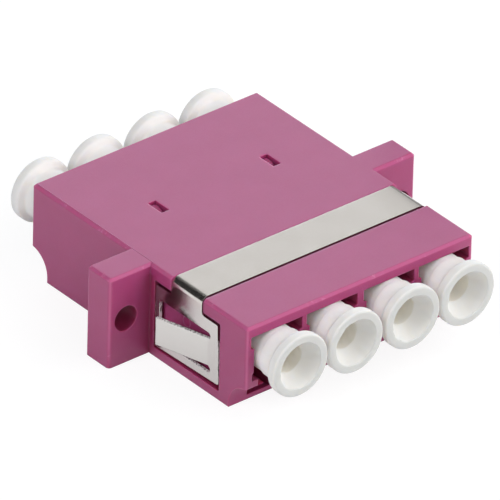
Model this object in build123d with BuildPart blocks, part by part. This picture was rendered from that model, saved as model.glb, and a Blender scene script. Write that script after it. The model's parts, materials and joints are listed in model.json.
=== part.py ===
"""Four-port LC fibre adapter: moulded housing, panel clip, sleeve carriers, split sleeves and dust caps.

Frame: +X across the four ports, +Y along the plug axis with the clip end at the front (-Y), +Z up.
The origin is the centre of the underside of the housing. All sizes are in millimetres.
"""
import os
from math import atan, cos, degrees, radians, sin

from build123d import *

FRONT = -1
REAR = 1

# Ports
pair_count = 2
pair_gap = 0.2
port_pitch = 6.25
port_width = 4.6
port_height = 4.6
port_depth = 13.77
mouth_width = 5.05
mouth_depth = 3.0
mouth_skirt_width = 5.35
mouth_skirt_height = 0.9
mouth_wing_width = 5.76
mouth_wing_height = 1.15
mouth_slope = 0.15

# Walls of the housing
floor_wall = 0.45
latch_height = 3.1
top_wall = 1.03
side_wall = 1.025
corner_round = 0.35
top_bevel = 0.25

# Latch way below each port
hook_gap_width = 4.0
hook_gap_height = 0.65
latch_slot_width = 2.6
catch_start = 5.4
catch_length = 1.6
catch_drop = 0.85
latch_root_depth = 11.4
latch_root_height = 1.2

# Finger notch under each end
notch_radius = 2.33
notch_wall = 0.5
notch_round = 0.2

# Screw ears
ear_reach = 4.55
flange_thickness = 3.2
screw_hole_diameter = 2.5
screw_hole_inset = 1.85
screw_hole_height = 4.6

# Chamber behind the ports and the snap window above it
shoulder = 0.25
window_width = 0.86
window_length = 1.93
window_start = 4.3

# Panel clip
sheet = 0.3
band_width = 4.15
band_start = 2.84
clip_recess = 0.08
bend_radius = 0.7
groove_gap_front = 0.3
groove_gap = 0.03
wing_gap_rear = 0.7
wing_top_drop = 1.76
wing_front_reach = 2.2
wing_front_flare = 0.25
wing_bottom = 1.1
wing_bottom_rise = 0.28
wing_corner_round = 0.15
shoulder_round = 0.35
wing_rear_strip = 0.55
tab_root_strip = 1.25
clip_window_bottom = 2.02
clip_window_top = 6.12
tab_bottom = 2.74
tab_top = 5.5
tab_angle = 16.0
tab_length = 5.6
tab_bend_radius = 0.8

# Pocket for the clip's wing in each side
pocket_gap_rear = 0.6
pocket_gap_front = 0.22
pocket_gap_top = 0.42
pocket_bottom = 0.9
pocket_depth = 0.65
pocket_round = 0.15

# Split sleeves
ferrule_bore = 1.249
sleeve_diameter = 1.62
sleeve_length = 6.8
sleeve_slot = 0.35

# Carriers that hold the sleeves
plate_thickness = 1.2
carrier_gap = 0.04
sleeve_gap = 0.03
sleeve_end_gap = 0.06
tube_wall = 0.5
lip_length = 0.5
lip_bore = 1.44
lip_mouth = 1.75
divider_stop = 0.3
barb_width = 0.62
barb_offset = 0.03
barb_height = 0.79
barb_bulge = 0.72
barb_length = 1.8
barb_gap = 0.08
spring_height = 0.9
spring_slit = 0.35

# Dust caps
stem_gap = 0.03
stem_length = 5.2
shoulder_standoff = 0.15
shoulder_step = 0.13
crease_reach = 2.0
rim_gap = 0.13
rim_flare = 0.45
cap_reach = 3.4
rim_bevel = 0.17
mouth_diameter = 4.5
throat_diameter = 2.8
throat_reach = 1.75
stem_end_wall = 0.8

# How far a cut runs on past the outside, and how near a corner lies to the place it is picked by
cut_excess = 1.0
pick_reach = 0.01

# Sizes that follow from those above
pair_pitch = 2 * port_pitch + pair_gap
port_floor = floor_wall + latch_height
port_axis = port_floor + port_height / 2
port_top = port_floor + port_height
body_width = (pair_count - 1) * pair_pitch + port_pitch + port_width + 2 * side_wall
body_length = 2 * (port_depth + plate_thickness)
body_height = port_top + top_wall
half_width = body_width / 2
half_length = body_length / 2
chamber_width = port_pitch + port_width + 2 * shoulder
notch_top = notch_wall + notch_radius
flange_front = -flange_thickness / 2
screw_spacing = 2 * (half_width + ear_reach - screw_hole_inset)

pair_places = [(index - (pair_count - 1) / 2) * pair_pitch for index in range(pair_count)]
port_places = [pair + side * port_pitch / 2 for pair in pair_places for side in (-1, 1)]

clip_half_width = half_width - clip_recess
band_rear = flange_front - band_start
band_front = band_rear - band_width
wing_rear = flange_front - wing_gap_rear
wing_top = body_height - wing_top_drop
wing_front = band_front - wing_front_reach
pocket_rear = flange_front - pocket_gap_rear
pocket_front = wing_front - wing_front_flare - pocket_gap_front
pocket_top = wing_top + pocket_gap_top
pocket_floor = half_width - pocket_depth
window_rear_y = wing_rear - wing_rear_strip
tab_root_y = wing_front + tab_root_strip
tab_turn = radians(tab_angle)

sleeve_radius = sleeve_diameter / 2
sleeve_room_radius = sleeve_radius + sleeve_gap
sleeve_room_end = sleeve_length / 2 + sleeve_end_gap
tube_radius = sleeve_room_radius + tube_wall
tube_end = sleeve_room_end + lip_length
lip_slope = degrees(atan((lip_mouth - lip_bore) / 2 / lip_length))


def plug_plane(distance, height=0.0):
    """Upright plane across the plug axis, at this distance behind the centre, facing the front."""
    return Plane(origin=(0, distance, height), x_dir=(1, 0, 0), z_dir=(0, -1, 0))


def end_plane(end, depth=0.0, height=0.0):
    """Upright plane this far inside the front or rear end face, facing the front."""
    return plug_plane(end * (half_length - depth), height)


def mouth_outline():
    """Points round the opening of one port, from its axis: wings at the top, a skirt at the bottom."""
    top = port_height / 2
    wing_bottom_z = top - mouth_wing_height
    skirt_top = -top + mouth_skirt_height
    right_side = [
        (mouth_wing_width / 2, top),
        (mouth_wing_width / 2, wing_bottom_z),
        (mouth_width / 2, wing_bottom_z - mouth_slope),
        (mouth_width / 2, skirt_top),
        (mouth_skirt_width / 2, skirt_top - mouth_slope),
        (mouth_skirt_width / 2, -top),
    ]
    left_side = [(-x, z) for x, z in reversed(right_side)]
    return right_side + left_side


def x_edges_near(part, y, z):
    """Edges along X that lie at this place in the side view."""
    along = part.edges().filter_by(Axis.X).filter_by_position(Axis.Y, y - pick_reach, y + pick_reach)
    return along.filter_by_position(Axis.Z, z - pick_reach, z + pick_reach)


# Housing: one moulding with the ports, the latch ways, the clip's groove and pockets and the screw ears
with BuildPart() as housing:
    with BuildSketch():
        RectangleRounded(body_width, body_length, corner_round)
        RectangleRounded(body_width + 2 * ear_reach, flange_thickness, corner_round)
    extrude(amount=body_height)
    chamfer(housing.faces().sort_by(Axis.Z)[-1].edges(), top_bevel)

    # Finger notch under each end, so that the latches can be reached
    for end in (FRONT, REAR):
        with BuildSketch(Plane.YZ) as notch:
            with Locations((end * half_length, notch_wall)):
                Circle(notch_radius)
            with Locations((end * half_length, notch_wall / 2)):
                Rectangle(2 * notch_radius, notch_wall)
            with Locations((end * (half_length + notch_radius / 2), notch_top)):
                Rectangle(notch_radius, 2 * notch_radius)
            fillet(notch.vertices().sort_by_distance((end * half_length, notch_top))[0], notch_round)
        extrude(amount=half_width + cut_excess, both=True, mode=Mode.SUBTRACT)

    # Groove for the clip's band, across the top and down over both corners
    with BuildSketch(plug_plane(band_rear + groove_gap)):
        with Locations((0, body_height)):
            Rectangle(body_width + 2 * cut_excess, 2 * (body_height - pocket_top))
        with Locations((0, (body_height - sheet - groove_gap) / 2)):
            RectangleRounded(
                2 * (clip_half_width - sheet - groove_gap),
                body_height - sheet - groove_gap,
                bend_radius - sheet,
                mode=Mode.SUBTRACT,
            )
    extrude(amount=band_width + groove_gap + groove_gap_front, mode=Mode.SUBTRACT)

    # Pocket in each side for the clip's wing
    for side in (-1, 1):
        with BuildSketch(Plane.YZ.offset(side * pocket_floor)):
            with Locations(((pocket_rear + pocket_front) / 2, (pocket_bottom + pocket_top) / 2)):
                RectangleRounded(pocket_rear - pocket_front, pocket_top - pocket_bottom, pocket_round)
        extrude(amount=side * (pocket_depth + cut_excess), mode=Mode.SUBTRACT)
    fillet(x_edges_near(housing, band_front - groove_gap_front, pocket_top), shoulder_round - sheet / 2)

    # Screw holes through the ears
    with Locations(plug_plane(flange_front, screw_hole_height)):
        with GridLocations(screw_spacing, 1, 2, 1):
            Hole(screw_hole_diameter / 2, flange_thickness)

    # Mouth and latch way of every port, the same at both ends
    for end in (FRONT, REAR):
        with BuildSketch(end_plane(end, 0, port_axis)):
            with Locations(*[(place, 0) for place in port_places]):
                Polygon(*mouth_outline(), align=None)
        extrude(amount=end * mouth_depth, mode=Mode.SUBTRACT)

        with BuildSketch(end_plane(end, 0, port_floor)):
            with Locations(*[(place, 0) for place in port_places]):
                Rectangle(hook_gap_width, 2 * hook_gap_height)
        extrude(amount=end * catch_start, mode=Mode.SUBTRACT)

        with BuildSketch(end_plane(end, catch_start, port_floor)):
            with Locations(*[(place, 0) for place in port_places]):
                Rectangle(hook_gap_width, 2 * (hook_gap_height + catch_drop))
        extrude(amount=end * catch_length, mode=Mode.SUBTRACT)

        with BuildSketch(end_plane(end, 0, port_floor)):
            with Locations(*[(place, 0) for place in port_places]):
                Rectangle(latch_slot_width, 2 * latch_height)
        extrude(amount=end * (catch_start + catch_length), mode=Mode.SUBTRACT)

        with BuildSketch(end_plane(end, 0, port_floor)):
            with Locations(*[(place, 0) for place in port_places]):
                Rectangle(latch_slot_width, 2 * latch_root_height)
        extrude(amount=end * latch_root_depth, mode=Mode.SUBTRACT)

    # Four ports from the front, and from the rear one chamber for each pair, which ends in a shoulder
    with BuildSketch(end_plane(FRONT, 0, port_axis)):
        with Locations(*[(place, 0) for place in port_places]):
            Rectangle(port_width, port_height)
    extrude(amount=-port_depth, mode=Mode.SUBTRACT)
    with BuildSketch(end_plane(REAR, 0, port_axis)):
        with GridLocations(pair_pitch, 1, pair_count, 1):
            Rectangle(chamber_width, port_height)
    extrude(amount=half_length + plate_thickness, mode=Mode.SUBTRACT)

    # Windows in the top that the carriers' barbs snap into
    with BuildSketch(Plane.XY.offset(body_height)):
        with Locations(*[(pair, window_start + window_length / 2) for pair in pair_places]):
            Rectangle(window_width, window_length)
    extrude(amount=-(top_wall + carrier_gap), mode=Mode.SUBTRACT)
housing.part.label = "housing"


# Panel clip: one stainless strip over the top, with a sprung tab cut out of each wing
with BuildPart() as panel_clip:
    with BuildSketch(plug_plane(wing_rear)):
        with BuildLine():
            middle_half = clip_half_width - sheet / 2
            middle_top = body_height - sheet / 2
            FilletPolyline(
                (-middle_half, wing_bottom - cut_excess),
                (-middle_half, middle_top),
                (middle_half, middle_top),
                (middle_half, wing_bottom - cut_excess),
                radius=bend_radius - sheet / 2,
            )
        trace(line_width=sheet)
    extrude(amount=wing_rear - wing_front + wing_front_flare)

    # Side outline: the band's neck above, the wing below
    with BuildSketch(Plane.YZ) as clip_side:
        with BuildLine():
            Polyline(
                (band_rear, body_height + cut_excess),
                (band_rear, wing_top),
                (wing_rear, wing_top),
                (wing_rear, wing_bottom),
                (wing_front - wing_front_flare, wing_bottom + wing_bottom_rise),
                (wing_front, wing_top),
                (band_front, wing_top),
                (band_front, body_height + cut_excess),
                close=True,
            )
        make_face()
        wing_corners = clip_side.vertices().filter_by_position(Axis.Y, 0, wing_top + pick_reach)
        under_band = (band_front - pick_reach, band_rear + pick_reach)
        fillet(wing_corners.filter_by_position(Axis.X, *under_band), shoulder_round)
        outer_corners = clip_side.vertices().filter_by_position(Axis.Y, 0, wing_top + pick_reach)
        front_corners = outer_corners.filter_by_position(Axis.X, wing_front - wing_front_flare, wing_front)
        rear_corners = outer_corners.filter_by_position(Axis.X, wing_rear, wing_rear)
        fillet(front_corners + rear_corners, wing_corner_round)
    extrude(amount=half_width + cut_excess, both=True, mode=Mode.INTERSECT)

    # Window that the tab is cut from, with a round-ended slot above and below the tab's root
    with BuildSketch(Plane.YZ):
        with Locations(((window_rear_y + tab_root_y) / 2, (clip_window_bottom + clip_window_top) / 2)):
            Rectangle(window_rear_y - tab_root_y, clip_window_top - clip_window_bottom)
        for slot_bottom, slot_top in ((clip_window_bottom, tab_bottom), (tab_top, clip_window_top)):
            with Locations((tab_root_y, (slot_bottom + slot_top) / 2)):
                Circle((slot_top - slot_bottom) / 2)
    extrude(amount=half_width + cut_excess, both=True, mode=Mode.SUBTRACT)

    # Tab on each side, bent outwards from its root at the front end of the window
    tip_out = middle_half + tab_length * sin(tab_turn)
    with BuildSketch(Plane.XY.offset(tab_bottom)):
        for side in (-1, 1):
            with BuildLine():
                FilletPolyline(
                    (side * middle_half, tab_root_y - tab_root_strip / 2),
                    (side * middle_half, tab_root_y),
                    (side * tip_out, tab_root_y + tab_length * cos(tab_turn)),
                    radius=tab_bend_radius,
                )
            trace(line_width=sheet)
    extrude(amount=tab_top - tab_bottom)
panel_clip.part.label = "panel_clip"


def sleeve_carrier(place, end, label):
    """Plate with two tubes that cage the ends of two sleeves, for the pair of ports at this place."""
    face = plug_plane(0, port_axis)
    tip = end * tube_end
    with BuildPart() as carrier:
        with BuildSketch(face):
            with Locations((place, 0)):
                Rectangle(chamber_width - 2 * carrier_gap, port_height - 2 * carrier_gap)
        extrude(amount=-end * plate_thickness)
        with BuildSketch(face):
            with Locations((place, 0)):
                with GridLocations(port_pitch, 1, 2, 1):
                    Circle(tube_radius)
        extrude(amount=-end * tube_end)
        with BuildSketch(face):
            with Locations((place, 0)):
                with GridLocations(port_pitch, 1, 2, 1):
                    Circle(sleeve_room_radius)
        extrude(amount=-end * sleeve_room_end, mode=Mode.SUBTRACT)
        with BuildSketch(plug_plane(tip, port_axis)):
            with Locations((place, 0)):
                with GridLocations(port_pitch, 1, 2, 1):
                    Circle(lip_mouth / 2)
        extrude(amount=end * lip_length, taper=lip_slope, mode=Mode.SUBTRACT)

        if end == REAR:
            # Divider between the two rear ports, cut back at the mouth as the moulded ones are
            divider_end = half_length - divider_stop
            divider_width = port_pitch - mouth_width
            divider_top = port_top - carrier_gap
            divider_bottom = port_floor + carrier_gap
            with BuildSketch(Plane.YZ.offset(place)):
                with Locations(((plate_thickness + divider_end) / 2, (divider_top + divider_bottom) / 2)):
                    Rectangle(divider_end - plate_thickness, divider_top - divider_bottom)
            extrude(amount=divider_width / 2, both=True)
            with BuildSketch(end_plane(REAR, mouth_depth, port_axis)):
                with Locations((place, 0)):
                    with GridLocations(port_pitch, 1, 2, 1):
                        Polygon(*mouth_outline(), align=None)
            extrude(amount=-mouth_depth, mode=Mode.SUBTRACT)

            # Slit below and behind the barb, which leaves it on a spring
            catch = window_start + window_length - barb_gap
            barb_foot = divider_top - spring_height / 2
            with BuildSketch(Plane.YZ.offset(place)):
                with BuildLine():
                    Polyline(
                        (plate_thickness, divider_top - spring_height - spring_slit),
                        (catch + 2 * spring_slit, divider_top - spring_height - spring_slit),
                        (catch + 2 * spring_slit, divider_top + cut_excess),
                        (catch + spring_slit, divider_top + cut_excess),
                        (catch + spring_slit, divider_top - spring_height),
                        (plate_thickness, divider_top - spring_height),
                        close=True,
                    )
                make_face()
            extrude(amount=divider_width, both=True, mode=Mode.SUBTRACT)

            # Barb: a curved ramp up to the catch
            with BuildSketch(Plane.YZ.offset(place - barb_offset)):
                with BuildLine():
                    ramp = ThreePointArc(
                        (catch - barb_length, divider_top),
                        (catch - barb_length / 2, divider_top + barb_bulge),
                        (catch, divider_top + barb_height),
                    )
                    Polyline(ramp @ 1, (catch, barb_foot), (catch - barb_length, barb_foot), ramp @ 0)
                make_face()
            extrude(amount=barb_width / 2, both=True)
    carrier.part.label = label
    return carrier


def split_sleeve(place, label):
    """Zirconia tube, slit along its top, that two ferrules meet in."""
    with BuildPart() as sleeve:
        with BuildSketch(plug_plane(-sleeve_length / 2, port_axis)):
            with Locations((place, 0)):
                Circle(sleeve_radius)
                Circle(ferrule_bore / 2, mode=Mode.SUBTRACT)
            with Locations((place, sleeve_radius / 2 + ferrule_bore / 4)):
                Rectangle(sleeve_slot, sleeve_radius, mode=Mode.SUBTRACT)
        extrude(amount=-sleeve_length)
    sleeve.part.label = label
    return sleeve


def dust_cap(place, end, label):
    """Soft cap, open to the outside: a closed stem in the port, then a waisted barrel with a rim."""
    section = Plane(origin=(place, end * half_length, port_axis), x_dir=(1, 0, 0), z_dir=(0, 0, end))
    stem_radius = min(port_width, port_height) / 2 - stem_gap
    rim_radius = (port_pitch - rim_gap) / 2
    with BuildPart() as cap:
        with BuildSketch(section):
            with BuildLine():
                Polyline(
                    (0, -stem_length),
                    (stem_radius, -stem_length),
                    (stem_radius, shoulder_standoff),
                    (stem_radius + shoulder_step, shoulder_standoff),
                    (stem_radius + shoulder_step, crease_reach),
                    (rim_radius, crease_reach + rim_flare),
                    (rim_radius, cap_reach - rim_bevel),
                    (rim_radius - rim_bevel, cap_reach),
                    (mouth_diameter / 2, cap_reach),
                    (throat_diameter / 2, throat_reach),
                    (throat_diameter / 2, stem_end_wall - stem_length),
                    (0, stem_end_wall - stem_length),
                    close=True,
                )
            make_face()
        revolve(axis=Axis(section.origin, section.y_dir))
    cap.part.label = label
    return cap


os.makedirs("parts", exist_ok=True)
export_step(housing.part, "parts/housing.step")
export_step(panel_clip.part, "parts/panel_clip.step")
for number, place in enumerate(pair_places, 1):
    for end, kind in ((FRONT, "front_carrier"), (REAR, "rear_carrier")):
        name = f"{kind}_{number}"
        export_step(sleeve_carrier(place, end, name).part, f"parts/{name}.step")
for number, place in enumerate(port_places, 1):
    name = f"split_sleeve_{number}"
    export_step(split_sleeve(place, name).part, f"parts/{name}.step")
    for end, kind in ((FRONT, "front_dust_cap"), (REAR, "rear_dust_cap")):
        name = f"{kind}_{number}"
        export_step(dust_cap(place, end, name).part, f"parts/{name}.step")
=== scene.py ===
"""Looks of the four-port LC fibre adapter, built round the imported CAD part. Lengths are in metres."""

import json
import math

import bpy
from mathutils import Matrix, Vector, noise


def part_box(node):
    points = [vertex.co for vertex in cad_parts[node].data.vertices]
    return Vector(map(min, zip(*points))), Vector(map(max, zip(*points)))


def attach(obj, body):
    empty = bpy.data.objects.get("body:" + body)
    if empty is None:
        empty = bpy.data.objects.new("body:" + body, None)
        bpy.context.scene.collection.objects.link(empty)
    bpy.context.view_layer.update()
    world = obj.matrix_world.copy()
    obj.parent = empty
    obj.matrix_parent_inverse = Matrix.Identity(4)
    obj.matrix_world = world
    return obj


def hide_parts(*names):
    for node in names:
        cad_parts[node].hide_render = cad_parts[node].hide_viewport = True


MM = 0.001

# Ports at each end of the adapter, and how close two places on a section count as one
ports = 4
tolerance = 1e-9

# Camera, fitted to corners and cap rims of the photograph. Angles are in degrees, lens and sensor in
# millimetres.
camera_azimuth = -40.17
camera_elevation = 32.4
camera_roll = 1.55
camera_distance = 1398.5 * MM
camera_target = (0.0, 0.18 * MM, 4.8 * MM)
camera_lens = 1144.3
camera_clip_end = 20.0
sensor_width = 36.0

# Colours, as linear light
white = (1.0, 1.0, 1.0)
violet = (0.345, 0.04, 0.15)
violet_light = (0.36, 0.045, 0.16)
# Painted highlight: the paler colour of the housing's rounded edges
violet_edge_highlight = (0.46, 0.1, 0.235)
violet_worn = (0.55, 0.2, 0.34)
# Painted shade: the colour that recesses and corners darken towards
violet_painted_shade = (0.22, 0.01, 0.05)
steel = (0.55, 0.522, 0.488)
steel_dark = (0.53, 0.502, 0.469)
steel_side = (0.535, 0.527, 0.503)
# Painted glint on the cut edges of the strip
steel_edge_glint = (0.95, 0.94, 0.92)
steel_torn = (0.25, 0.23, 0.22)
cap_white = (0.87, 0.858, 0.832)
# Painted shade on the lip of a dust cap, and half of it in the bowl
cap_lip_shade = (0.56, 0.563, 0.55)
# Painted light: the brighter, warmer colour of a cap's bore, standing in for light that shines through its
# wall
cap_bore_glow = (0.97, 0.91, 0.78)
zirconia_white = (0.86, 0.84, 0.78)
floor_grey = (0.78, 0.78, 0.78)
cap_cloudiness = 0.96
zirconia_cloudiness = 0.97

# Roughness at the smoothest and the roughest spots, and what a recess or a cut edge adds
plastic_roughness = (0.47, 0.55)
steel_roughness = (0.13, 0.2)
cap_roughness = (0.58, 0.68)
zirconia_roughness = (0.2, 0.28)
recess_roughness = 0.4
cut_edge_roughness = 0.3
cut_edge_metallic = 0.2

# How much of the light goes in under the skin of a cap, and under the wall of its bore
cap_subsurface = (0.6, 0.1)

# Noise patterns: scale, detail and roughness, and how some of them are stretched along X, Y and Z
plastic_cloud = (0.35, 3.0, 0.5)
plastic_speck = (9.0, 2.0, 0.5)
plastic_scuffs = (0.9, 4.0, 0.7)
steel_lines = (1.6, 4.0, 0.6)
steel_lines_stretch = (0.25, 14.0, 0.25)
steel_cloud = (0.5, 2.0, 0.5)
steel_speck = (22.0, 1.0, 0.5)
steel_mottle = (1.6, 3.0, 0.7)
steel_mottle_stretch = (3.0, 3.0, 1.0)
cap_swell = (0.9, 2.0, 0.5)
cap_skin = (7.0, 2.0, 0.5)
zirconia_lines = (2.0, 2.0, 0.5)
zirconia_lines_stretch = (1.0, 20.0, 1.0)

# Reliefs: strength and depth
plastic_grain_relief = (0.16, 0.02 * MM)
plastic_marks_relief = (1.0, 0.06 * MM)
steel_lines_relief = (0.22, 0.01 * MM)
steel_speck_relief = (0.14, 0.01 * MM)
cap_swell_relief = (0.2, 0.05 * MM)
cap_skin_relief = (0.12, 0.02 * MM)
zirconia_relief = (0.1, 0.005 * MM)

# Ranges: where most noise values lie, and from where to where a pattern, a normal or openness counts
noise_range = (0.3, 0.7)
scuffed = (0.6, 0.7)
torn_apart = (0.46, 0.58)
edge_by_normal = (0.97, 0.75)
edge_by_openness = (0.6, 0.9)
corner_by_openness = (0.7, 0.5)
clip_edge_by_normal = (0.97, 0.8)
cut_face_by_normal = (0.5, 0.4)

# Edges that the materials round, and how far a wall still shades a recess or a corner
shader_samples = 8
housing_edge_radius = 0.16 * MM
band_edge_radius = 0.03 * MM
wing_edge_radius = 0.1 * MM
recess_reach = 3.0 * MM
corner_reach = 5.0 * MM

# Places that the materials look for, in millimetres, as Shader.place gives them
mould_line_x = -12.45
mould_line_width = 0.05
mould_line_front = -1.6
pocket_floor_x = 12.15
pocket_floor_slack = 0.3
ejector_mark_y = -5.92
ejector_mark_z = 5.14
ejector_mark_radius = 0.5
ejector_mark_width = 0.09
top_recess_front = -3.0
top_recess_heights = (8.1, 8.3)
wing_tint_heights = (8.2, 7.4)
cut_edge_heights = (6.0, 5.5)

# Shares: painted shade in recesses of the top and in corners, strength of the ejector mark, painted shade
# on a cap's bowl
top_recess_shade = 0.2
corner_shade = 0.85
ejector_mark_tint = 0.6
bowl_painted_shade = 0.5

# Dust caps: turns of the mesh and steps in each rounded corner, then radii, and places along the cap
# measured outwards from the end face of the housing
cap_turns = 144
arc_steps = 8
stem_radius = 2.27 * MM
barrel_radius = 2.4 * MM
mouth_radius = 2.3 * MM
bore_radius = 1.4 * MM
stem_in = 5.2 * MM
bore_in = 4.4 * MM
barrel_start = 0.5 * MM
crease_place = 2.05 * MM
rim_start = 2.45 * MM
throat_place = 1.75 * MM
throat_edge = 0.02 * MM
throat_fade = 0.1 * MM
rim_height = 0.25 * MM
lip_unevenness = 0.02 * MM
flash_width = 0.09 * MM

# Lip of a dust cap: extra rings as shares of the bowl's slope, its waves, and the patches of moulding flash
lip_rings = (0.1, 0.16)
outer_unevenness = 0.4
seed_spacing = 3.7
slow_wave = 1.3
fast_wave = 5.0
fast_wave_share = 0.5
patch_wave = 2.2
patch_contrast = 5.0
patch_threshold = 0.4
ragged_wave = 17.0
ragged_least = 0.7
ragged_share = 0.6

# Surroundings as a light, and the floor as the camera and as a gloss sees it
world_light = 0.15
floor_half_width = 3.0
floor_drop = 0.02 * MM
floor_tone = (0.17, 1.0)
floor_glow = (0.87, 0.35)

# Lamps: name, direction, width, height, watts, tint, and whether reflections show it
lamp_distance = 0.9
lamps = (
    ("side_left", (-0.8, 0.02, 0.6), 0.5, 0.5, 3.45, (0.98, 1.0, 1.06), False),
    ("key_right", (0.5, -0.56, 0.66), 0.8, 0.8, 5.4, white, False),
    ("fill_front", (-0.35, -0.75, 0.56), 0.5, 0.5, 1.9, white, False),
    ("front_right", (0.55, -0.8, 0.24), 0.5, 0.5, 2.2, white, False),
    ("rear_low", (0.62, 0.74, 0.26), 0.8, 0.3, 3.5, (0.9, 0.98, 1.12), True),
)

# Dark panels: direction, distance, width, height and brightness. The first is a wide one behind the
# adapter, and the second a small grey one near the right bend of the clip, which keeps the glare off it.
dark_cards = (
    ((-0.28, 0.862, 0.4226), 0.6, 0.9, 0.7, 0.04),
    ((0.86, -0.066, 0.505), 22.1 * MM, 12.0 * MM, 7.0 * MM, 0.4),
)

# Sockets of a Mix node that carry its two colours and its result
mix_first = 6
mix_second = 7
mix_result = 2

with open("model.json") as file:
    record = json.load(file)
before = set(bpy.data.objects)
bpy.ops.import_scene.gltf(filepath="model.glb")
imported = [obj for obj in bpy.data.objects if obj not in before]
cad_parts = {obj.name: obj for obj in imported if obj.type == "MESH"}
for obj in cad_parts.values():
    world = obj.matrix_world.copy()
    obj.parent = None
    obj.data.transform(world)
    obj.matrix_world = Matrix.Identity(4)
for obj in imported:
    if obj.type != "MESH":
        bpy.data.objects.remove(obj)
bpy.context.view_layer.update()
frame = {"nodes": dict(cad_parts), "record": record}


class Shader:
    """Node tree of a material or of the world, with short calls that add nodes and join them."""

    def __init__(self, holder):
        self.holder = holder
        self.holder.use_nodes = True
        self.tree = self.holder.node_tree
        self.tree.nodes.clear()

    def put(self, socket, value):
        """Join a socket to this one, or set its value."""
        if isinstance(value, bpy.types.NodeSocket):
            self.tree.links.new(value, socket)
        else:
            socket.default_value = value

    def add(self, kind, inputs=None, **settings):
        """Add a node with these settings, and fill its inputs by name or number."""
        node = self.tree.nodes.new(kind)
        for name, value in settings.items():
            setattr(node, name, value)
        for name, value in (inputs or {}).items():
            self.put(node.inputs[name], value)
        return node

    def maths(self, operation, first, second=0.0, clamp=False):
        """Result of one operation on one or two numbers."""
        node = self.add("ShaderNodeMath", {0: first, 1: second}, operation=operation, use_clamp=clamp)
        return node.outputs[0]

    def place(self):
        """A point's place in its object's own frame, in millimetres."""
        coordinates = self.add("ShaderNodeTexCoord").outputs["Object"]
        scaled = self.add("ShaderNodeVectorMath", {0: coordinates, "Scale": 1 / MM}, operation="SCALE")
        return scaled.outputs[0]

    def stretched(self, vector, scale):
        """Vector with each of its parts multiplied by that part of the scale."""
        node = self.add("ShaderNodeVectorMath", {0: vector, 1: scale}, operation="MULTIPLY")
        return node.outputs[0]

    def split(self, vector):
        """The three parts of a vector."""
        return self.add("ShaderNodeSeparateXYZ", {0: vector}).outputs

    def noise(self, vector, scale, detail, roughness):
        """Cloudy pattern of values round a half; the scale is in waves per unit of the vector."""
        node = self.add(
            "ShaderNodeTexNoise",
            {"Vector": vector, "Scale": scale, "Detail": detail, "Roughness": roughness},
            noise_dimensions="3D",
        )
        return node.outputs["Fac"]

    def ramp(self, value, low, high, to_low=0.0, to_high=1.0):
        """Number that runs from to_low to to_high while the value runs from low to high."""
        node = self.add(
            "ShaderNodeMapRange",
            {"Value": value, "From Min": low, "From Max": high, "To Min": to_low, "To Max": to_high},
        )
        return node.outputs["Result"]

    def between(self, share, first, second):
        """Number at this share of the way from the first to the second."""
        return self.ramp(share, 0.0, 1.0, first, second)

    def blend(self, share, first, second):
        """Mix of two colours."""
        node = self.add("ShaderNodeMix", data_type="RGBA")
        self.put(node.inputs["Factor"], share)
        for socket, colour in ((mix_first, first), (mix_second, second)):
            is_socket = isinstance(colour, bpy.types.NodeSocket)
            self.put(node.inputs[socket], colour if is_socket else (*colour, 1.0))
        return node.outputs[mix_result]

    def band(self, value, middle, half_width):
        """1 on the middle, falling off to 0 at this distance from it."""
        away = self.maths("ABSOLUTE", self.maths("SUBTRACT", value, middle))
        return self.ramp(away, half_width, 0.0)

    def attribute(self, name):
        """Value that the mesh carries at its points under this name."""
        return self.add("ShaderNodeAttribute", attribute_name=name).outputs["Fac"]

    def rounded_normal(self, radius):
        """Normal of a surface whose edges are rounded by this radius."""
        return self.add("ShaderNodeBevel", {"Radius": radius}, samples=shader_samples).outputs[0]

    def openness(self, reach, only_local=False):
        """1 on a free face, less where walls stand within this reach."""
        occlusion = self.add("ShaderNodeAmbientOcclusion", {"Distance": reach}, samples=shader_samples)
        occlusion.only_local = only_local
        return occlusion.outputs["AO"]

    def bump(self, height, strength, depth, normal=None):
        """Normal of a surface with this relief, laid over an earlier normal if there is one."""
        inputs = {"Strength": strength, "Distance": depth, "Height": height}
        if normal is not None:
            inputs["Normal"] = normal
        return self.add("ShaderNodeBump", inputs).outputs[0]

    def seen(self, path):
        """1 where the camera, a gloss or clear material looks at this, 0 where it only gives light."""
        direct = self.maths("ADD", path.outputs["Is Camera Ray"], path.outputs["Is Glossy Ray"])
        return self.maths("ADD", direct, path.outputs["Is Transmission Ray"], clamp=True)

    def finish(self, shader, output="ShaderNodeOutputMaterial"):
        """Join the shader to the output, and give back the material or the world."""
        self.add(output, {"Surface": shader})
        return self.holder


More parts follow.
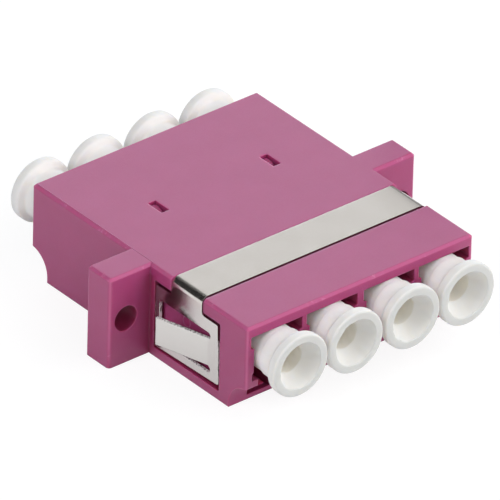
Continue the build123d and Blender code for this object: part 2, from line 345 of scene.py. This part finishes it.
def violet_plastic(name, shade_start):
    """Moulded thermoplastic: satin, finely grained, with a mould line and an ejector mark.

    Openness below shade_start darkens the colour as painted shade in recesses and corners, and the edges
    take a paler painted highlight.
    """
    s = Shader(bpy.data.materials.new(name))
    place = s.place()
    x, y, z = s.split(place)

    # Slightly cloudy colour, with a painted highlight that makes the edges paler, and worn on some of them
    cloud = s.noise(place, *plastic_cloud)
    speck = s.noise(place, *plastic_speck)
    rounded = s.rounded_normal(housing_edge_radius)
    tilt_x, tilt_y, tilt_z = s.split(rounded)
    squareness = s.maths("MAXIMUM", s.maths("ABSOLUTE", tilt_x), s.maths("ABSOLUTE", tilt_y))
    squareness = s.maths("MAXIMUM", squareness, s.maths("ABSOLUTE", tilt_z))
    openness = s.openness(recess_reach)
    edge_highlight_and_wear = s.maths("MULTIPLY", s.ramp(squareness, *edge_by_normal), s.ramp(openness, *edge_by_openness))
    colour = s.blend(s.ramp(cloud, *noise_range), violet, violet_light)
    # Painted highlight on the edges
    colour = s.blend(edge_highlight_and_wear, colour, violet_edge_highlight)
    scuffs = s.noise(place, *plastic_scuffs)
    wear = s.maths("MULTIPLY", edge_highlight_and_wear, s.ramp(scuffs, *scuffed))
    colour = s.blend(wear, colour, violet_worn)

    # Painted shade: darker colour in recesses and corners, less of it in the recesses of the top, which
    # stay lit
    behind_flange = s.maths("GREATER_THAN", y, top_recess_front)
    lit = s.maths("MULTIPLY", s.ramp(z, *top_recess_heights), behind_flange)
    shade = s.between(lit, 1.0, top_recess_shade)
    painted_shade = s.maths("MULTIPLY", s.ramp(openness, shade_start, 0.0), shade)
    corner = s.openness(corner_reach, only_local=True)
    painted_corner_shade = s.maths("MULTIPLY", s.ramp(corner, *corner_by_openness, 0.0, corner_shade), shade)
    colour = s.blend(painted_corner_shade, colour, violet_painted_shade)
    colour = s.blend(painted_shade, colour, violet_painted_shade)

    # Mould line down the left side, and a ring left by an ejector on the floors of the clip's pockets
    line = s.band(x, mould_line_x, mould_line_width)
    line = s.maths("MULTIPLY", line, s.maths("GREATER_THAN", y, mould_line_front))
    from_mark_y = s.maths("SUBTRACT", y, ejector_mark_y)
    from_mark_z = s.maths("SUBTRACT", z, ejector_mark_z)
    squares = s.maths("ADD", s.maths("POWER", from_mark_y, 2.0), s.maths("POWER", from_mark_z, 2.0))
    ring = s.band(s.maths("SQRT", squares), ejector_mark_radius, ejector_mark_width)
    on_pocket_floor = s.band(s.maths("ABSOLUTE", x), pocket_floor_x, pocket_floor_slack)
    ring = s.maths("MULTIPLY", ring, on_pocket_floor)
    colour = s.blend(s.maths("MULTIPLY", ring, ejector_mark_tint), colour, violet_worn)

    grained = s.bump(speck, *plastic_grain_relief, rounded)
    marked = s.bump(s.maths("ADD", line, ring), *plastic_marks_relief, grained)
    satin = s.ramp(speck, *noise_range, *plastic_roughness)
    surface = s.add(
        "ShaderNodeBsdfPrincipled",
        {
            "Base Color": colour,
            "Roughness": s.maths("ADD", satin, s.maths("MULTIPLY", painted_shade, recess_roughness)),
            "Normal": marked,
            "Specular IOR Level": 0.62,
            "Subsurface Weight": 0.8,
            "Subsurface Radius": (1.0, 0.3, 0.45),
            "Subsurface Scale": 0.7 * MM,
        },
    )
    return s.finish(surface.outputs[0])


def spring_steel():
    """Rolled stainless strip: faint lines along the strip, which runs across the top and down the sides.

    Low on the sides the strip's sheared edges are mottled: a bright painted glint where they are cut, dark
    where they tore.
    """
    s = Shader(bpy.data.materials.new("spring_steel_look"))
    place = s.place()
    lines = s.noise(s.stretched(place, steel_lines_stretch), *steel_lines)
    cloud = s.noise(place, *steel_cloud)
    speck = s.noise(place, *steel_speck)
    colour = s.blend(s.ramp(cloud, *noise_range), steel, steel_dark)
    height = s.split(place)[2]
    colour = s.blend(s.ramp(height, *wing_tint_heights), colour, steel_side)

    on_sides = s.ramp(height, *cut_edge_heights)
    rounded = s.rounded_normal(s.between(on_sides, band_edge_radius, wing_edge_radius))
    true_normal = s.add("ShaderNodeNewGeometry").outputs["True Normal"]
    flatness = s.add("ShaderNodeVectorMath", {0: rounded, 1: true_normal}, operation="DOT_PRODUCT")
    across = s.split(true_normal)[0]
    cut_face = s.ramp(s.maths("ABSOLUTE", across), *cut_face_by_normal)
    on_edge = s.maths("MAXIMUM", s.ramp(flatness.outputs["Value"], *clip_edge_by_normal), cut_face)
    sheared = s.maths("MULTIPLY", on_edge, on_sides)
    mottle = s.noise(s.stretched(place, steel_mottle_stretch), *steel_mottle)
    torn = s.ramp(mottle, *torn_apart)
    # Cut edges: a painted glint in patches, dark where they tore
    colour = s.blend(sheared, colour, s.blend(torn, steel_edge_glint, steel_torn))

    rolled = s.bump(lines, *steel_lines_relief, rounded)
    fine = s.bump(speck, *steel_speck_relief, rolled)
    bright = s.ramp(lines, *noise_range, *steel_roughness)
    surface = s.add(
        "ShaderNodeBsdfPrincipled",
        {
            "Base Color": colour,
            "Metallic": s.between(sheared, 1.0, cut_edge_metallic),
            "Roughness": s.maths("ADD", bright, s.maths("MULTIPLY", sheared, cut_edge_roughness)),
            "Normal": fine,
        },
    )
    return s.finish(surface.outputs[0])


def white_cap_plastic():
    """Soft polyethylene that lets light in, with a slightly waxy and uneven skin.

    The mesh says where the bore is, painted brighter and warmer as a glow of light through the wall,
    and where the bowl and lip are, which take painted shade.
    """
    s = Shader(bpy.data.materials.new("white_cap_plastic_look"))
    place = s.place()
    swell = s.noise(place, *cap_swell)
    skin = s.noise(place, *cap_skin)
    uneven = s.bump(swell, *cap_swell_relief)
    waxy = s.bump(skin, *cap_skin_relief, uneven)
    outer = s.blend(s.ramp(swell, *noise_range), cap_white, shaded(cap_white, cap_cloudiness))
    depth = s.attribute("inside")
    painted_lip_shade = s.attribute("painted_lip_shade")
    surface = s.add(
        "ShaderNodeBsdfPrincipled",
        {
            "Base Color": s.blend(depth, s.blend(painted_lip_shade, outer, cap_lip_shade), cap_bore_glow),
            "Roughness": s.ramp(skin, *noise_range, *cap_roughness),
            "Normal": waxy,
            "Specular IOR Level": 0.2,
            "Subsurface Weight": s.between(depth, *cap_subsurface),
            "Subsurface Radius": (1.0, 0.88, 0.7),
            "Subsurface Scale": 1.0 * MM,
        },
    )
    return s.finish(surface.outputs[0])


def zirconia():
    """Ground white ceramic, with fine lines round the bore."""
    s = Shader(bpy.data.materials.new("zirconia_look"))
    place = s.place()
    lines = s.noise(s.stretched(place, zirconia_lines_stretch), *zirconia_lines)
    surface = s.add(
        "ShaderNodeBsdfPrincipled",
        {
            "Base Color": s.blend(lines, zirconia_white, shaded(zirconia_white, zirconia_cloudiness)),
            "Roughness": s.ramp(lines, *noise_range, *zirconia_roughness),
            "Normal": s.bump(lines, *zirconia_relief),
        },
    )
    return s.finish(surface.outputs[0])


def shaded(colour, share):
    """The same colour with this share of its light."""
    return tuple(share * value for value in colour)


def clamped(value):
    """Value held between 0 and 1."""
    return min(1.0, max(0.0, value))


def added(name, data):
    """New object in the scene with this data."""
    thing = bpy.data.objects.new(name, data)
    bpy.context.scene.collection.objects.link(thing)
    return thing


def rectangle(name, width, height):
    """Mesh of one flat face in the XY plane, round the origin."""
    mesh = bpy.data.meshes.new(name)
    x, y = width / 2, height / 2
    mesh.from_pydata([(-x, -y, 0.0), (x, -y, 0.0), (x, y, 0.0), (-x, y, 0.0)], [], [(0, 1, 2, 3)])
    return mesh


def corner_points(before, corner, after, radius):
    """Points that round a corner of a section with an arc of this radius."""
    to_before = (Vector(before) - Vector(corner)).normalized()
    to_after = (Vector(after) - Vector(corner)).normalized()
    half_angle = to_before.angle(to_after) / 2
    reach = radius / math.tan(half_angle)
    middle = Vector(corner) + (to_before + to_after).normalized() * (radius / math.sin(half_angle))
    start = Vector(corner) + to_before * reach - middle
    finish = Vector(corner) + to_after * reach - middle
    turn = start.angle(finish)
    points = []
    for step in range(arc_steps + 1):
        share = step / arc_steps
        arm = start * math.sin((1 - share) * turn) + finish * math.sin(share * turn)
        points.append(tuple(middle + arm / math.sin(turn)))
    return points


def cap_section(rim_radius, reach):
    """Half section of a dust cap as (radius, place along it), from the stem's end round to the bore's."""
    start, finish = (0.0, -stem_in), (0.0, -bore_in)

    # Each corner with the radius that rounds it
    corners = [
        ((stem_radius, -stem_in), 0.2 * MM),
        ((stem_radius, barrel_start), 0.04 * MM),
        ((barrel_radius, barrel_start), 0.11 * MM),
        ((barrel_radius, crease_place), 0.3 * MM),
        ((rim_radius, rim_start), 0.35 * MM),
        ((rim_radius, reach), 0.22 * MM),
        ((mouth_radius, reach), 0.1 * MM),
        ((bore_radius, throat_place), 0.05 * MM),
        ((bore_radius, -bore_in), 0.2 * MM),
    ]
    places = [start] + [corner for corner, radius in corners] + [finish]
    outline = [start]
    for index, (corner, radius) in enumerate(corners, 1):
        outline += corner_points(places[index - 1], corner, places[index + 1], radius)
        if corner == (mouth_radius, reach):
            below = Vector(places[index + 1]) - Vector(corner)
            outline += [tuple(Vector(corner) + share * below) for share in lip_rings]
    return outline + [finish]


def cap_turn(turn, seed):
    """One turn of a cap's mesh: its direction, and the wave and the flash that the lip has there."""
    angle = 2 * math.pi * turn / cap_turns
    around = Vector((math.cos(angle), math.sin(angle), seed * seed_spacing))
    wave = noise.noise(around * slow_wave) + fast_wave_share * noise.noise(around * fast_wave)
    patch = clamped(patch_contrast * noise.noise(around * patch_wave) - patch_threshold)
    flash = patch * (ragged_least + ragged_share * noise.noise(around * ragged_wave))
    return around, wave, flash


def cap_faces(row):
    """Faces between each turn's row of points and the next, and those that close the stem and the bore."""
    stem_end = cap_turns * row
    bore_end = stem_end + 1
    faces = []
    for turn in range(cap_turns):
        here, there = turn * row, (turn + 1) % cap_turns * row
        for step in range(row - 1):
            faces.append((here + step, here + step + 1, there + step + 1, there + step))
        faces.append((stem_end, here, there))
        faces.append((bore_end, there + row - 1, here + row - 1))
    return faces


def turned_cap(node, body, outward, seed):
    """A dust cap turned from its section, with a slightly uneven lip, in place of its CAD node."""
    low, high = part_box(node)
    centre = (low + high) / 2
    rim_radius = (high.x - low.x) / 2
    tip = high.y if outward > 0 else low.y
    reach = (high.y - low.y) - stem_in
    face = tip - outward * reach
    section = cap_section(rim_radius, reach)
    outer_points = next(index for index, (radius, along) in enumerate(section) if along > reach - tolerance)

    vertices = []
    inside = []
    painted_lip_shade = []
    for turn in range(cap_turns):
        around, wave, flash = cap_turn(turn, seed)
        for index, (radius, along) in enumerate(section[1:-1], 1):
            within = index > outer_points
            on_lip = max(0.0, (along - crease_place) / (reach - crease_place))
            on_rim = clamped(1.0 - (reach - along) / rim_height)
            uneven = lip_unevenness * wave * on_lip * (1.0 if within else outer_unevenness)
            out = radius + min(uneven, rim_radius - radius)
            if within and radius < (rim_radius + mouth_radius) / 2:
                out -= flash_width * flash * on_rim
            vertices.append((centre.x + out * around.x, face + outward * along, centre.z + out * around.y))
            depth = (throat_place + throat_edge - along) / throat_fade
            inside.append(clamped(depth) if within else 0.0)
            # Share of painted shade: full on the lip's face, half inside the mouth, rising to half along
            # the outside
            painted_lip_shade.append(max(on_rim, bowl_painted_shade * (1.0 if within else on_lip)))
    vertices.append((centre.x, face + outward * section[0][1], centre.z))
    vertices.append((centre.x, face + outward * section[-1][1], centre.z))
    inside += [0.0, 1.0]
    painted_lip_shade += [0.0, bowl_painted_shade]

    faces = cap_faces(len(section) - 2)
    if outward < 0:
        faces = [face_points[::-1] for face_points in faces]

    mesh = bpy.data.meshes.new(node + "_moulding")
    mesh.from_pydata(vertices, [], faces)
    mesh.polygons.foreach_set("use_smooth", [True] * len(mesh.polygons))
    mesh.attributes.new("inside", "FLOAT", "POINT").data.foreach_set("value", inside)
    mesh.attributes.new("painted_lip_shade", "FLOAT", "POINT").data.foreach_set("value", painted_lip_shade)
    mesh.update()
    cap = added(node + "_moulding", mesh)
    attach(cap, body)
    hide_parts(node)
    return cap


def white_floor():
    """Pale floor that shows white to the camera apart from the object's soft shadow."""
    s = Shader(bpy.data.materials.new("floor_look"))
    path = s.add("ShaderNodeLightPath")
    seen = s.seen(path)
    matt = s.add("ShaderNodeBsdfDiffuse", {"Color": (*floor_grey, 1.0)})
    gloss = path.outputs["Is Glossy Ray"]
    faint = s.add("ShaderNodeBsdfDiffuse", {"Color": s.between(gloss, *floor_tone)})
    glow = s.add("ShaderNodeEmission", {"Color": (*white, 1.0), "Strength": s.between(gloss, *floor_glow)})
    shown = s.add("ShaderNodeAddShader", {0: faint.outputs[0], 1: glow.outputs[0]})
    mixed = s.add("ShaderNodeMixShader", {"Fac": seen, 1: matt.outputs[0], 2: shown.outputs[0]})

    mesh = rectangle("floor", 2 * floor_half_width, 2 * floor_half_width)
    mesh.materials.append(s.finish(mixed.outputs[0]))
    floor = added("floor", mesh)
    floor.location.z = -floor_drop


def white_world():
    """Even white surroundings: full white where the camera or a gloss sees them, softer as a light."""
    world = bpy.data.worlds.new("studio")
    bpy.context.scene.world = world
    s = Shader(world)
    seen = s.seen(s.add("ShaderNodeLightPath"))
    full = s.add("ShaderNodeBackground", {"Color": (*white, 1.0), "Strength": 1.0})
    soft = s.add("ShaderNodeBackground", {"Color": (*white, 1.0), "Strength": world_light})
    mixed = s.add("ShaderNodeMixShader", {"Fac": seen, 1: soft.outputs[0], 2: full.outputs[0]})
    s.finish(mixed.outputs[0], output="ShaderNodeOutputWorld")


def placed(name, data, direction, distance):
    """Object that looks at the adapter from this direction."""
    holder = added(name, data)
    away = Vector(direction).normalized()
    holder.location = away * distance
    holder.rotation_mode = "QUATERNION"
    holder.rotation_quaternion = away.to_track_quat("Z", "Y")
    return holder


def softbox(name, direction, width, height, watts, tint, in_gloss):
    """Soft area light that looks at the adapter from this direction; in_gloss shows it in reflections."""
    lamp = bpy.data.lights.new(name, "AREA")
    lamp.shape = "RECTANGLE"
    lamp.size = width
    lamp.size_y = height
    lamp.energy = watts
    lamp.color = tint
    placed(name, lamp, direction, lamp_distance).visible_glossy = in_gloss


def dark_card(direction, distance, width, height, level):
    """Dim studio panel that only a gloss sees, so the bent steel has something dark to reflect."""
    s = Shader(bpy.data.materials.new("card_look"))
    faint = s.add("ShaderNodeEmission", {"Color": (level, level, level, 1.0), "Strength": 1.0})
    mesh = rectangle("card", width, height)
    mesh.materials.append(s.finish(faint.outputs[0]))
    card = placed("card", mesh, direction, distance)
    card.visible_camera = False
    card.visible_diffuse = False
    card.visible_shadow = False
    card.visible_transmission = False


def photo_camera():
    """Camera at the photograph's place, angle and roll."""
    data = bpy.data.cameras.new("camera")
    data.lens = camera_lens
    data.sensor_width = sensor_width
    data.clip_end = camera_clip_end
    camera = added("camera", data)
    azimuth, elevation = math.radians(camera_azimuth), math.radians(camera_elevation)
    back = Vector(
        (
            math.sin(azimuth) * math.cos(elevation),
            -math.cos(azimuth) * math.cos(elevation),
            math.sin(elevation),
        )
    )
    camera.location = Vector(camera_target) + back * camera_distance
    camera.rotation_mode = "QUATERNION"
    turned = back.to_track_quat("Z", "Y").to_matrix() @ Matrix.Rotation(math.radians(camera_roll), 3, "Z")
    camera.rotation_quaternion = turned.to_quaternion()
    bpy.context.scene.camera = camera


# Materials of the CAD nodes, by the record's material slots. The rear carriers show in the snap windows, so
# their painted shade starts only deeper down.
looks = {
    "violet_plastic": violet_plastic("violet_plastic_look", shade_start=0.32),
    "spring_steel": spring_steel(),
    "white_cap_plastic": white_cap_plastic(),
    "zirconia": zirconia(),
}
violet_insert = violet_plastic("violet_insert_look", shade_start=0.15)
for part in frame["record"]["subparts"]:
    look = violet_insert if part["node"].startswith("rear_carrier") else looks[part["material_slot"]]
    for slot in frame["nodes"][part["node"]].material_slots:
        slot.material = look

# Dust caps, each in place of its CAD node
for number in range(1, ports + 1):
    for end, outward in (("front", -1), ("rear", 1)):
        seed = number + ports * (outward > 0)
        cap = turned_cap(f"{end}_dust_cap_{number}", f"{end}_cap_{number}", outward, seed)
        cap.data.materials.append(looks["white_cap_plastic"])

white_floor()
white_world()
for lamp in lamps:
    softbox(*lamp)
for card in dark_cards:
    dark_card(*card)
photo_camera()

bpy.context.scene.view_settings.view_transform = "Standard"
